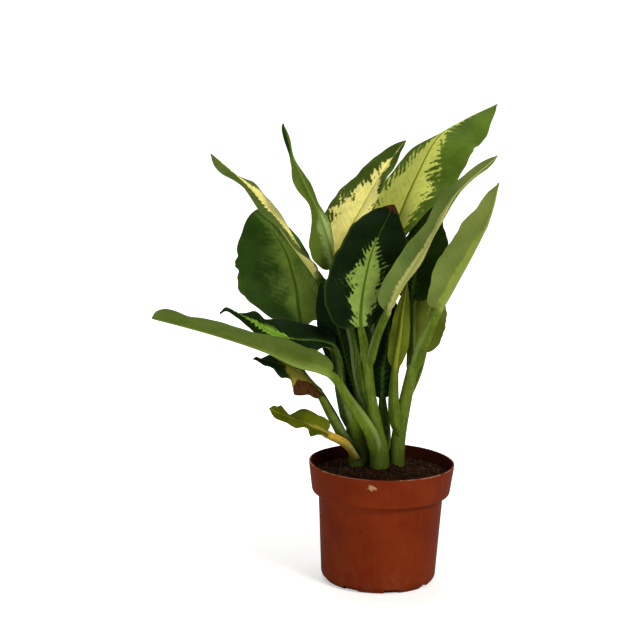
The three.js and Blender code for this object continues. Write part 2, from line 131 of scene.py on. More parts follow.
# Of two colours, noise picks the shade between them.
YELLOWED = srgb(128, 122, 36), srgb(176, 164, 70)
DRIED = srgb(40, 23, 11), srgb(88, 56, 28)
POT_BROWN = srgb(106, 35, 10), srgb(119, 44, 15)
POT_STREAK = srgb(150, 80, 46)
POT_DUST = srgb(176, 136, 106)
POT_WORN_AND_HIGHLIGHT = srgb(196, 158, 130)
POT_SCUFF = srgb(186, 150, 112)
POT_INSIDE_PAINTED_SHADE = srgb(40, 16, 7)
SCUFF_PLACE = (-0.0085, -0.0585, 0.0935)  # metres
SCUFF_STRETCH = (190, 60, 310)  # the larger, the narrower the scuff is along that axis
# Dark, light and how much of the light shows on the fine grains.
SOIL = srgb(15, 8, 3), srgb(62, 38, 20), 0.5
CRUMB = srgb(18, 10, 5), srgb(72, 46, 28), 0.4
BARK = srgb(56, 34, 20), srgb(112, 80, 52), 0.6
ROOT = srgb(76, 50, 32), srgb(142, 110, 78), 0.6

# ---- leaves ----

# Each leaf: heading is where it points, in degrees from +X. path is the line of its stalk and
# midrib in mm, and its first stalk points belong to the stalk. sheath is half the stalk's width at
# the cane. shape is how rounded the blade starts and how sharply it ends, and wave the height in mm
# of its waved edge. left and right are each half's width in mm, its lift in degrees from base to
# tip and, where it has one, a trim that widens or narrows it from base to tip.
# face, pale and rib colour the upper side, its pale centre and its midrib. reach is how far across
# each half the pale goes from base to tip, finger and ragged how much its edge follows the side
# veins and strays, soft how wide it fades and through how much of it shows below. veins is the
# distance between side veins in mm, back and back_rib colour the underside, and skin the stalk.
# Each patch is a spot: its kind (yellow, dry or deep green), its place along and across, and its
# half sizes there. What a leaf doesn't say, LEAF_DEFAULTS says.
LEAF_DEFAULTS = dict(
    stalk=3, wave=1.5, face=GREEN_FACE, pale=LIME, rib=GREEN_RIB, reach=[(0.2, 0.2, 0.1, 0, 0)] * 2,
    finger=0.2, ragged=0.2, soft=0.05, through=0.1, veins=5, back=OLIVE_BACK, back_rib=PALE_RIB,
    skin=STALK_GREEN, patches=())
LEAVES = {
    "leaf_top_right": dict(
        heading=60, sheath=4.5, shape=(0.9, 0.95), wave=1.6,
        path=[(-21, 22, 186), (-11, 28, 217), (-3, 29, 258), (8, 35, 298), (23, 44, 335),
              (39, 54, 364), (61, 64, 378), (88, 76, 390)],
        left=(38, (30, -25, -85), (1, 1, 0.95, 0.7, 0.5)),
        right=(40, (55, 5, -20), (1, 0.88, 0.9, 1, 1)),
        face=srgb(80, 106, 28), rib=srgb(122, 132, 24),
        reach=((1.05, 0.98, 0.75, 0.3, 0), (1, 0.82, 0.6, 0.18, 0)),
        finger=0.18, ragged=0.27, veins=6.5, skin=STALK_IN_PAINTED_SHADE),
    "leaf_top_middle": dict(
        heading=60, sheath=4.2, shape=(0.42, 0.82), wave=1.8,
        path=[(-26, 20, 200), (-34, 26, 229), (-42, 26, 255), (-32, 30, 287), (-19, 36, 312),
              (-6, 43, 335), (12, 50, 361)],
        left=(30, (5, -5, 5), (1.1, 1.1, 1.1, 0.9, 0.9)), right=(20, (60, 45, 30)),
        face=srgb(70, 94, 28), pale=CREAM, rib=srgb(186, 184, 88),
        reach=((0.95, 0.85, 0.7, 0.45, 0), (1.2, 1.2, 1, 0.4, 0)), finger=0.14, ragged=0.36,
        skin=STALK_IN_PAINTED_SHADE),
    "leaf_narrow": dict(
        heading=-60, stalk=6, sheath=3.8, shape=(0.5, 0.8), wave=2.2,
        path=[(-7, -1, 134), (-16, -3, 152), (-23, -4, 175), (-27, -2, 200), (-35, 2, 228),
              (-46, 10, 259), (-52, 9, 281), (-60, 7, 304), (-72, 5, 330), (-82, 5, 352),
              (-89, 8, 377)],
        left=(17, (25, 30, 25), (0.9, 0.7, 0.6, 0.45, 1)),
        right=(26, (-15, -45, -45), (1, 1.2, 0.4, 1.4, 0.35, 1)),
        face=srgb(40, 74, 14), pale=srgb(186, 204, 134), rib=srgb(84, 116, 36),
        reach=((1.2, 1, 0.4, 0.5, 0.1), (0.34, 0.3, 0.1, 0.05, 0)),
        finger=0.06, soft=0.2, through=0.7,
        back=srgb(90, 110, 36), back_rib=srgb(100, 132, 50), skin=STALK_IN_PAINTED_SHADE,
        patches=[("deep", 0.9, 0.6, 0.15, 0.8)]),
    "leaf_striped": dict(
        heading=190, stalk=4, sheath=4.2, shape=(0.5, 0.6),
        path=[(-18, 22, 165), (-40, 22, 212), (-52, 19, 245), (-57, 14, 255), (-75, 7, 279),
              (-94, 0, 304), (-117, -8, 330), (-145, -16, 354)],
        left=(27, (10, -5, -20), (0.5, 1, 1, 0.6, 1.2)),
        right=(25, (5, 20, 0), (0.9, 0.9, 1.2, 0.5, 1.2)),
        face=srgb(84, 104, 44), pale=CREAM, rib=srgb(190, 184, 96),
        reach=((0.62, 0.62, 0.6, 0.45, 0), (1, 0.95, 0.8, 0.6, 0)),
        finger=0.18, ragged=0.22, through=0.85, skin=STALK_IN_PAINTED_SHADE),
    "leaf_broad_left": dict(
        heading=100, stalk=4, sheath=4.6, shape=(0.6, 0.68), wave=0.9,
        path=[(-12, 24, 140), (-26, 22, 168), (-44, 18, 194), (-67, 13, 208), (-72, 18, 222),
              (-75, 26, 240), (-84, 38, 266), (-97, 46, 284), (-112, 50, 298)],
        left=(44, (-50, -10, 0), (0.6, 1.2, 1, 1, 1.1)),
        right=(40, (-20, -40, -35), (1.35, 1.3, 0.9, 0.9, 1)),
        face=srgb(58, 90, 28), pale=srgb(126, 150, 62), rib=srgb(72, 100, 26),
        reach=((0.35, 0.4, 0.35, 0.2, 0), (0.9, 0.8, 0.55, 0.25, 0)),
        finger=0.1, ragged=0.3, soft=0.4, veins=6, skin=STALK_IN_PAINTED_SHADE),
    "leaf_curled": dict(
        heading=185, stalk=5, sheath=5.2, shape=(0.44, 0.78), wave=2,
        path=[(-23, 11, 122), (-29, 6.5, 144), (-33.5, 2, 162), (-37, -1, 182), (-43, -3, 197),
              (-56, -5, 202), (-73, -12, 204), (-91, -20, 210), (-109, -28, 221), (-127, -34, 232),
              (-135, -36, 229)],
        left=(22, (-15, -10, -5), (0.7, 0.8, 0.9, 1, 1)),
        right=(24, (50, 25, -10), (0.7, 0.95, 1, 0.8, 0.9)),
        face=srgb(14, 34, 8), pale=srgb(128, 168, 56), rib=srgb(92, 130, 36),
        reach=((0, 0.05, 0.62, 0.4, 0), (0, 0.05, 0.5, 0.45, 0)),
        finger=0.3, ragged=0.24, veins=4.5, skin=STALK_IN_PAINTED_SHADE),
    "leaf_long_left": dict(
        heading=215, stalk=4, sheath=5.2, shape=(0.4, 0.58), wave=1.2,
        path=[(-2, 1, 100), (-9, -8, 127), (-29, -13, 156), (-45, -14, 177), (-72, -24, 187),
              (-98, -36, 201), (-138, -52, 216), (-187, -66, 230)],
        left=(32, (60, 30, 45), (0.6, 0.8, 0.78, 0.9, 0.7, 1.7)), right=(17, (-10, 5, 25)),
        reach=[(0.4, 0.4, 0.4, 0.2, 0)] * 2, finger=0.06, soft=0.3, veins=5.5,
        back=srgb(94, 116, 42), back_rib=srgb(120, 140, 62)),
    "leaf_yellowing": dict(
        heading=200, stalk=4, sheath=5.2, shape=(0.4, 0.9), wave=2.5,
        path=[(-21, 12.5, 106), (-33, 1, 128), (-43, -5, 145), (-51, -6, 158), (-61, -7, 170),
              (-76, -10, 180), (-93, -20, 187), (-107, -30, 191)],
        left=(20, (-45, -55, -30), (1, 0.9, 0.6, 0.7, 1)), right=(18, (20, 10, 5)),
        face=srgb(22, 46, 18), pale=srgb(138, 130, 52), rib=srgb(120, 118, 40),
        reach=[(0.4, 0.3, 0.1, 0, 0)] * 2, ragged=0.3, veins=4.5,
        patches=[("yellow", 0.38, -0.3, 0.26, 0.9), ("dry", 0.14, -0.8, 0.24, 0.45)]),
    "leaf_lowest": dict(
        heading=205, stalk=4, sheath=2.8, shape=(0.4, 0.85), wave=2.5,
        path=[(-21, 13, 100), (-20, 3, 104), (-29, -8, 117), (-46, -13, 126), (-60, -15, 133),
              (-72, -20, 139), (-84, -28, 145), (-93, -34, 151)],
        left=(17, (-10, -5, -50)), right=(16, (80, 15, 60)),
        face=srgb(94, 104, 14), pale=srgb(150, 140, 44), rib=srgb(160, 142, 48),
        ragged=0.3, veins=4,
        back=srgb(96, 92, 28), back_rib=srgb(176, 146, 52), skin=srgb(208, 170, 60),
        patches=[("yellow", 0.1, 0, 0.22, 0.6)]),
    "leaf_front": dict(
        heading=80, sheath=4.4, shape=(0.4, 0.82), wave=1.6,
        path=[(-15, -4, 180), (-17.5, -8, 199), (-21, -12, 216), (-21, -11, 236), (-18, -8, 258),
              (-12, -3, 282), (3, 6, 314)],
        left=(34, (25, 50, 35)), right=(30, (-10, -15, 0), (0.7, 0.9, 1.1, 1.2, 1)),
        face=srgb(12, 30, 7), pale=srgb(132, 156, 72), rib=srgb(74, 100, 22),
        reach=((0.42, 0.58, 0.44, 0.05, 0), (0.5, 0.7, 0.5, 0.05, 0)),
        finger=0.16, ragged=0.36, veins=4.6, patches=[("dry", 0.985, 0, 0.07, 1.5)]),
    "leaf_right": dict(
        heading=-60, sheath=3.6, shape=(0.38, 0.82), wave=1.2,
        path=[(-14, -4, 180), (-8, -14, 209), (0, -23, 232), (7, -28, 250), (25, -38, 283),
              (48, -52, 331), (80, -64, 366)],
        left=(20, (40, 42, 15), (1, 0.85, 0.7, 0.7, 0.8)),
        right=(18, (50, 85, 75), (1, 0.8, 0.7, 0.7, 1)),
        pale=srgb(218, 214, 128),
        reach=((1, 1, 1, 0.6, 0.1), (0.44, 0.4, 0.34, 0.2, 0)),
        finger=0.03, ragged=0.06, through=0.85,
        back=srgb(100, 122, 56), back_rib=srgb(164, 170, 88)),
    "leaf_far_right": dict(
        heading=-50, sheath=4.8, shape=(0.45, 0.95), wave=1.2,
        path=[(23, 8, 176), (32, 0, 208), (41, -6, 232), (51, -12, 252), (66, -24, 284),
              (77, -36, 312), (83, -46, 342)],
        left=(20, (50, 40, 45)), right=(30, (15, 20, 25), (0.8, 0.85, 0.9, 1, 1)),
        pale=srgb(160, 182, 66),
        reach=((1.1, 1.1, 1, 0.5, 0), (0.42, 0.38, 0.32, 0.16, 0)),
        finger=0.05, ragged=0.08, soft=0.1, through=0.5, veins=6,
        back=srgb(114, 128, 58), back_rib=srgb(136, 152, 78)),
    "leaf_behind_right": dict(
        heading=60, sheath=3.3, shape=(0.45, 0.95),
        path=[(21, 9, 166), (21, 16, 203), (21, 15, 234), (23, 20, 254), (27, 28, 273),
              (33, 38, 293), (40, 46, 312)],
        left=(21, (0, 5, 5)), right=(26, (5, 10, 40)),
        face=DARK_FACE, pale=srgb(72, 100, 44), rib=srgb(74, 100, 30), finger=0.3, soft=0.3),
    "leaf_olive": dict(
        heading=-90, sheath=6, shape=(0.4, 0.9), wave=1,
        path=[(14, 10, 120), (8.5, 6, 146), (8.5, 3, 180), (11, 2, 203), (13, 2, 227),
              (16, 4, 250)],
        left=(8.5, (10, 20, 20)), right=(8.5, (10, 20, 20)),
        reach=[(0.4, 0.4, 0.3, 0.1, 0)] * 2, veins=4,
        back=srgb(94, 106, 24), back_rib=srgb(122, 132, 40)),
    "leaf_small_right": dict(
        heading=80, sheath=2.7, shape=(0.5, 0.85),
        path=[(17, 9, 146), (27, 12, 170), (32, 18, 190), (34, 25, 206), (37, 30, 224),
              (42, 36, 246)],
        left=(18, (15, 15, 15)), right=(15, (5, 5, 5)),
        face=srgb(98, 108, 32), pale=srgb(112, 122, 42), rib=srgb(84, 110, 36),
        reach=[(0.3, 0.3, 0.1, 0, 0)] * 2, soft=0.3, veins=4),
    "leaf_dark_middle": dict(
        heading=95, sheath=4, shape=(0.8, 0.8),
        path=[(-5, 0, 121), (-11, 8, 134), (-20, 13, 148), (-27, 13.5, 168), (-34, 13, 191),
              (-43, 13, 220), (-49, 12, 236), (-54, 11, 248)],
        left=(17, (8, 5, 5)), right=(26, (15, 15, 10)),
        face=srgb(20, 42, 16), pale=srgb(60, 90, 36), rib=srgb(66, 92, 30), finger=0.3, soft=0.3,
        skin=STALK_IN_PAINTED_SHADE),
    "leaf_dark_right": dict(
        heading=80, stalk=4, sheath=6.5, shape=(0.5, 0.9),
        path=[(-1, 2, 102), (1.5, 8, 118), (0.5, 9, 135), (-1, 9, 152), (-1, 10, 176), (2, 14, 200),
              (3, 18, 218), (4, 22, 240)],
        left=(16, (-5, -5, -10)), right=(14, (-10, -10, -10)),
        face=srgb(16, 36, 12), pale=srgb(60, 90, 36), rib=srgb(66, 92, 30), finger=0.3, soft=0.3,
        skin=STALK_IN_PAINTED_SHADE),
}

# ---- node helpers ----


class Value:
    """A node's output that arithmetic works on: each operation adds a Math node to its tree."""

    def __init__(self, socket):
        self.socket = socket
        self.tree = socket.id_data

    def __add__(self, other):
        return maths("ADD", self, other)

    def __sub__(self, other):
        return maths("SUBTRACT", self, other)

    def __rsub__(self, other):
        return maths("SUBTRACT", other, self)

    def __mul__(self, other):
        return maths("MULTIPLY", self, other)

    def __abs__(self):
        return maths("ABSOLUTE", self)


def connect(value, socket):
    """Joins a Value to an input, or sets the input to a plain value."""
    if isinstance(value, Value):
        value.tree.links.new(value.socket, socket)
    else:
        socket.default_value = value


def place(tree, kind, sockets=None, output=0, **settings):
    """Adds a node and gives one of its outputs. sockets maps the inputs, by name or number, to
    plain values or Values."""
    node = tree.nodes.new(kind)
    for name, value in settings.items():
        setattr(node, name, value)
    for key, value in (sockets or {}).items():
        connect(value, node.inputs[key])
    return Value(node.outputs[output])


def add(kind, sockets, output=0, **settings):
    """The same in the tree of the Values that go into the node."""
    tree = next(value.tree for value in sockets.values() if isinstance(value, Value))
    return place(tree, kind, sockets, output, **settings)


def maths(operation, *values):
    return add("ShaderNodeMath", dict(enumerate(values)), operation=operation)


def vector_maths(operation, *values):
    output = "Value" if operation == "LENGTH" else 0
    return add("ShaderNodeVectorMath", dict(enumerate(values)), output, operation=operation)


def mix(share, a, b):
    """Colour a, with share of colour b over it."""
    return add("ShaderNodeMix", {0: share, 6: a, 7: b}, 2, data_type="RGBA")


def blend_value(share, a, b):
    return add("ShaderNodeMix", {0: share, 2: a, 3: b}, data_type="FLOAT")


def step(value, low, high):
    """0 below low, 1 above high and an eased ramp between them."""
    return add("ShaderNodeMapRange", {0: value, 1: low, 2: high}, interpolation_type="SMOOTHSTEP")


def noise(vector, scale, detail=3, roughness=0.55, distortion=0):
    return add("ShaderNodeTexNoise", {"Vector": vector, "Scale": scale, "Detail": detail,
                                      "Roughness": roughness, "Distortion": distortion})


def stretched(vector, height_scale):
    """Coordinates that draw a texture out along Z."""
    return add("ShaderNodeMapping", {"Vector": vector, "Scale": (1, 1, height_scale)})


def axis(vector, name):
    return add("ShaderNodeSeparateXYZ", {0: vector}, name)


def bump(height, distance, strength):
    return add("ShaderNodeBump", {"Height": height, "Distance": distance, "Strength": strength})


def make_group(form, name, inputs, outputs, wire):
    """A node group. inputs and outputs list the names of each kind, and wire turns the one into the
    other."""
    tree = bpy.data.node_groups.new(name, form)
    for in_out, kinds in (("INPUT", inputs), ("OUTPUT", outputs)):
        for kind, labels in kinds.items():
            for label in labels:
                tree.interface.new_socket(label, in_out=in_out, socket_type="NodeSocket" + kind)
    given = {socket.name: Value(socket) for socket in tree.nodes.new("NodeGroupInput").outputs}
    results = tree.nodes.new("NodeGroupOutput").inputs
    for label, value in wire(given).items():
        connect(value, results[label])
    return tree


def use(group, sockets):
    """A shader group at work in the tree of its inputs, and its outputs by name."""
    node = add("ShaderNodeGroup", sockets, node_tree=group).socket.node
    return {socket.name: Value(socket) for socket in node.outputs}


def new_material(name):
    """A material, and the Object coordinates in its tree."""
    material = bpy.data.materials.new(name)
    material.use_nodes = True
    return material, place(material.node_tree, "ShaderNodeTexCoord", output="Object")


def set_shader(material, **sockets):
    """Fills inputs of the material's Principled shader, named with _ for each space."""
    shader = material.node_tree.nodes["Principled BSDF"]
    for label, value in sockets.items():
        connect(value, shader.inputs[label.replace("_", " ")])
    return material


# ---- shader groups ----
# A noise scale counts per metre, and a height is in metres. The other bare numbers are the ends of
# a ramp, 0 to 1, or the share of a colour.


def wire_side_veins(given):
    """From the vein coordinate, a thin line on each side vein and a wave that peaks there."""
    stray = noise(given["Place"], 75, 2) - 0.5
    away = maths("PINGPONG", given["Vein"] + stray * 1.5, 0.5)
    wave = 1 - away * 2
    return {"Line": step(wave, 0.78, 1), "Wave": wave}


def wire_pale_centre(given):
    """Mask is 1 in a leaf's pale centre and 0 in its green margin. Edge goes over more gently."""
    spot = given["Place"]
    uneven = step(noise(spot, 55), 0.3, 0.66)
    finger = (given["Wave"] - 0.5) * (given["Finger"] * (uneven * 1.3 + 0.25))
    broad = noise(spot, 90, 4, 0.6) - 0.5
    fine = noise(spot, 420, 3, 0.6) - 0.5
    stray = (broad + fine * 0.35) * (given["Ragged"] * 3)
    fade = step(given["Reach"], 0, 0.12)
    over = given["Reach"] + (finger + stray) * fade - abs(given["Across"])
    return {"Mask": step(over, given["Soft"] * -1, given["Soft"]), "Edge": step(over, -0.2, 0.16)}


def wire_leaf_blade(given):
    """The colour, gloss and relief of a blade, above and below."""
    spot, under = given["Place"], given["Underside"]
    face, pale, back, back_rib = (given[label] for label in ("Face", "Pale", "Back", "Back rib"))
    veins = use(SIDE_VEINS, {"Place": spot, "Vein": given["Vein"]})
    centre = use(PALE_CENTRE, {
        "Place": spot, "Wave": veins["Wave"], **{label: given[label] for label in CENTRE}})
    line, cloud, grain = veins["Line"], noise(spot, 38), noise(spot, 900, 2)
    green = mix(step(cloud, 0.3, 0.7), mix(0.4, face, BLACK), mix(0.01, face, pale))
    green = mix(centre["Edge"] * 0.3, green, mix(0.25, face, pale))
    green = mix(line * 0.012, green, pale)
    mottle = step(noise(spot, 160, 4), 0.42, 0.62)
    light = mix(mottle * 0.34, pale, mix(0.45, pale, face))
    light = mix(line * 0.22, light, given["Rib colour"])
    above = mix(centre["Mask"], green, light)
    rib = step(given["Rib"], 0.35, 0.8) * (centre["Edge"] * 0.7 + 0.3)
    above = mix(rib, above, given["Rib colour"])
    margin = step(abs(given["Across"]), 0.955, 1)
    above = mix(margin * 0.15, above, back)
    below = mix(step(cloud, 0.3, 0.72), mix(0.2, back, BACK_SHADE), mix(0.12, back, back_rib))
    below = mix(centre["Mask"] * given["Through"], below, pale)
    below = mix(line * 0.05, below, back_rib)
    below = mix(step(given["Rib"], 0.12, 0.7), below, back_rib)
    return {"Colour": mix(under, above, below),
            "Roughness": blend_value(under, grain * 0.16 + 0.42, cloud * 0.12 + 0.52),
            "Relief": blend_value(under, grain * 0.25 - line * 0.35, grain * 0.3 + line * 0.35)}


def wire_green_stem(given):
    """The fleshy skin of stalks and canes: fine fibres, pale flecks, painted shade low down, and on
    sheaths a pale edge with a painted highlight.
    """
    spot, skin = given["Place"], given["Colour"]
    fibre = noise(stretched(spot, 0.07), 900)
    fleck = step(noise(spot, 480, 2, 0.4), 0.62, 0.72)
    shade = mix(step(noise(spot, 70), 0.3, 0.7), mix(0.42, skin, STEM_SHADE), skin)
    shade = mix(step(fibre, 0.45, 0.75) * 0.16, shade, STEM_FIBRE)
    shade = mix(fleck * 0.12, shade, STEM_FLECK)
    # Painted shade: the skin darkens towards the soil, where the stems stand close together.
    low = 1 - step(given["Height"], 0.088, 0.135)
    shade = mix(low * 0.6, shade, STEM_FOOT_PAINTED_SHADE)
    # A sheath's margin is paler: partly its own pale edge, partly a painted highlight.
    shade = mix(given["Edge"] * 0.3, shade, SHEATH_EDGE_AND_HIGHLIGHT)
    return {"Colour": shade, "Roughness": fibre * 0.2 + 0.34, "Relief": fibre + fleck * 0.4}


def shader_group(name, inputs, outputs, wire):
    return make_group("ShaderNodeTree", name, inputs, outputs, wire)


SURFACE = {"Color": ["Colour"], "Float": ["Roughness", "Relief"]}
CENTRE = ["Across", "Reach", "Finger", "Ragged", "Soft"]
SIDE_VEINS = shader_group("side veins", {"Vector": ["Place"], "Float": ["Vein"]},
                          {"Float": ["Line", "Wave"]}, wire_side_veins)
PALE_CENTRE = shader_group("pale centre", {"Vector": ["Place"], "Float": ["Wave", *CENTRE]},
                           {"Float": ["Mask", "Edge"]}, wire_pale_centre)
LEAF_BLADE = shader_group("leaf blade", {
    "Vector": ["Place"], "Color": ["Face", "Pale", "Rib colour", "Back", "Back rib"],
    "Float": ["Vein", "Rib", "Underside", "Through", *CENTRE]}, SURFACE, wire_leaf_blade)
GREEN_STEM = shader_group("green stem", {
    "Vector": ["Place"], "Color": ["Colour"], "Float": ["Height", "Edge"]},
    SURFACE, wire_green_stem)

# ---- materials ----


def leaf_material(name, leaf):
    material, spot = new_material(name)

    def fact(label):
        return place(spot.tree, "ShaderNodeAttribute", output="Fac", attribute_name=label)

    own = ("Face", "Pale", "Back", "Finger", "Ragged", "Soft", "Through")
    drawn = ("Across", "Vein", "Rib", "Underside", "Reach")
    blade = use(LEAF_BLADE, {
        "Place": spot, "Rib colour": leaf["rib"], "Back rib": leaf["back_rib"],
        **{label: leaf[label.lower()] for label in own},
        **{label: fact(label.lower()) for label in drawn}})
    stem = use(GREEN_STEM, {"Place": spot, "Colour": leaf["skin"],
                            "Height": axis(spot, "Z"), "Edge": fact("edge")})
    on_blade = step(fact("along"), -0.06, 0.035)
    colour = mix(on_blade, stem["Colour"], blade["Colour"])
    rough = blend_value(on_blade, stem["Roughness"], blade["Roughness"])
    relief = blend_value(on_blade, stem["Relief"], blade["Relief"])
    if leaf["patches"]:
        stray = noise(spot, 130, 5, 0.65) - 0.5
        crease = noise(spot, 520, 5, 0.7, 1.5)
        yellow = step(fact("yellow") + stray, 0.3, 0.62)
        dry = step(fact("dry") + stray, 0.35, 0.5)
        colour = mix(yellow, colour, mix(crease, *YELLOWED))
        colour = mix(dry, colour, mix(step(crease, 0.35, 0.65), *DRIED))
        colour = mix(step(fact("deep"), 0.2, 0.7), colour, DARK_FACE)
        rough = blend_value(dry, rough, 0.85)
        relief = relief + crease * dry * 6
    return set_shader(material, Base_Color=colour, Roughness=rough,
                      Normal=bump(relief, 0.00018, 0.8), Specular_IOR_Level=0.04)


def cane_material():
    material, spot = new_material("cane skin")
    stem = use(GREEN_STEM, {"Place": spot, "Colour": STALK_GREEN, "Height": axis(spot, "Z")})
    return set_shader(material, Base_Color=stem["Colour"], Roughness=stem["Roughness"],
                      Normal=bump(stem["Relief"], 0.0002, 0.8), Specular_IOR_Level=0.08)


def pot_material():
    """Thin moulded plastic: terracotta brown, dusty below, with a worn rim that also carries a
    painted highlight, one scuff on its band, and painted shade over its inside."""
    material, spot = new_material("pot plastic")
    x, y, z = (axis(spot, name) for name in "XYZ")
    blotch = noise(spot, 120, 4, 0.6)
    streak = noise(stretched(spot, 0.06), 300)
    plastic = mix(step(noise(spot, 26, 4), 0.3, 0.7), *POT_BROWN)
    plastic = mix(step(streak, 0.5, 0.8) * 0.08, plastic, POT_STREAK)
    low = 1 - step(z, 0.004, 0.03)
    plastic = mix((low * 0.05 + 0.02) * step(blotch, 0.4, 0.75), plastic, POT_DUST)
    # The rim's top edge is lighter in patches: partly wear, partly a painted highlight.
    rim = step(z, 0.0996, 0.1003) * step(noise(spot, 75, 5, 0.65), 0.4, 0.56)
    plastic = mix(rim * 0.45, plastic, POT_WORN_AND_HIGHLIGHT)
    off = vector_maths("MULTIPLY", vector_maths("SUBTRACT", spot, SCUFF_PLACE), SCUFF_STRETCH)
    scuff = step(vector_maths("LENGTH", off) + noise(spot, 300, 5, 0.75) * 2.6, 2.1, 1.6)
    plastic = mix(scuff * 0.8, plastic, POT_SCUFF)
    # Painted shade: the inside wall above the soil is darkened, deeper lower down.
    from_axis = maths("SQRT", x * x + y * y)
    inside = 1 - step(from_axis - (z - 0.1) * 0.12, 0.0587, 0.0593)
    inside = inside * step(z, 0.078, 0.082)
    deeper_shade = 1 - step(z + blotch * 0.008, 0.092, 0.103)
    plastic = mix(inside * (deeper_shade * 0.08 + 0.86), plastic, POT_INSIDE_PAINTED_SHADE)
    rough = blotch * 0.16 + 0.48 + maths("MAXIMUM", scuff, rim) * 0.3
    peel = noise(spot, 620, 2) + streak * 0.4
    return set_shader(material, Base_Color=plastic, Roughness=rough,
                      Normal=bump(peel, 0.00012, 0.5), Specular_IOR_Level=0.03)


def soil_material(name, dark, light, level):
    """Earth between dark and halfway to light, with level of light on its fine grains."""
    material, spot = new_material(name)
    coarse = noise(spot, 210, 6, 0.7)
    fine = noise(spot, 1100, 4, 0.7)
    halfway = tuple((a + b) / 2 for a, b in zip(dark, light))
    colour = mix(step(coarse, 0.32, 0.7), dark, halfway)
    colour = mix(step(fine, 0.58, 0.72) * level, colour, light)
    return set_shader(material, Base_Color=colour, Roughness=fine * 0.2 + 0.78,
                      Normal=bump(coarse + fine * 0.5, 0.0006, 1), Specular_IOR_Level=0.04)


# ---- meshes ----


def new_piece(name, points, faces, material, sharp=None):
    """A smooth mesh piece at the origin, its points given in mm."""
    mesh = bpy.data.meshes.new(name)
    mesh.from_pydata((np.asarray(points, float) * MM).tolist(), [], faces)
    mesh.shade_smooth()
    if sharp is not None:
        mesh.set_sharp_from_angle(angle=math.radians(sharp))
    mesh.materials.append(material)
    piece = bpy.data.objects.new(name, mesh)
    bpy.context.collection.objects.link(piece)
    return piece


def unit(vectors):
    return vectors / np.linalg.norm(vectors, axis=-1, keepdims=True)


def eased(stations, t):
    """One value of stations spread evenly over 0 to 1, eased between neighbours."""
    spot = np.clip(t, 0, 1) * (len(stations) - 1)
    start = np.minimum(spot.astype(int), len(stations) - 2)
    part = spot - start
    values = np.array(stations, float)
    return values[start] + (values[start + 1] - values[start]) * part * part * (3 - 2 * part)


def ramp(value, low, high):
    part = np.clip((value - low) / (high - low), 0, 1)
    return part * part * (3 - 2 * part)


def smooth_line(points):
    """A smooth curve through points, with the length up to each of its own points."""
    stops = np.array(points, float)
    ends = np.vstack([2 * stops[0] - stops[1], stops, 2 * stops[-1] - stops[-2]])
    u = np.linspace(0, 1, LINE_STEPS, endpoint=False)[:, None]
    spans = []
    for a, b, c, d in zip(ends, ends[1:], ends[2:], ends[3:]):
        leave, arrive = (c - a) / 2, (d - b) / 2
        spans.append(b + leave * u + (3 * (c - b) - 2 * leave - arrive) * u**2
                     + (2 * (b - c) + leave + arrive) * u**3)
    line = np.vstack(spans + [stops[-1:]])
    length = np.concatenate([[0], np.cumsum(np.linalg.norm(np.diff(line[:, :3], axis=0), axis=1))])
    return line, length


def along_line(line, length, stations):
    """The line's points and other columns at the given lengths."""
    return np.stack([np.interp(stations, length, line[:, k]) for k in range(line.shape[1])], axis=1)


def fullness(t, roundness, taper):
    """A blade's width over its widest, from 0 at the base to 0 at the tip."""
    widest = roundness / (roundness + taper)
    return (t / widest) ** roundness * ((1 - t) / (1 - widest)) ** taper


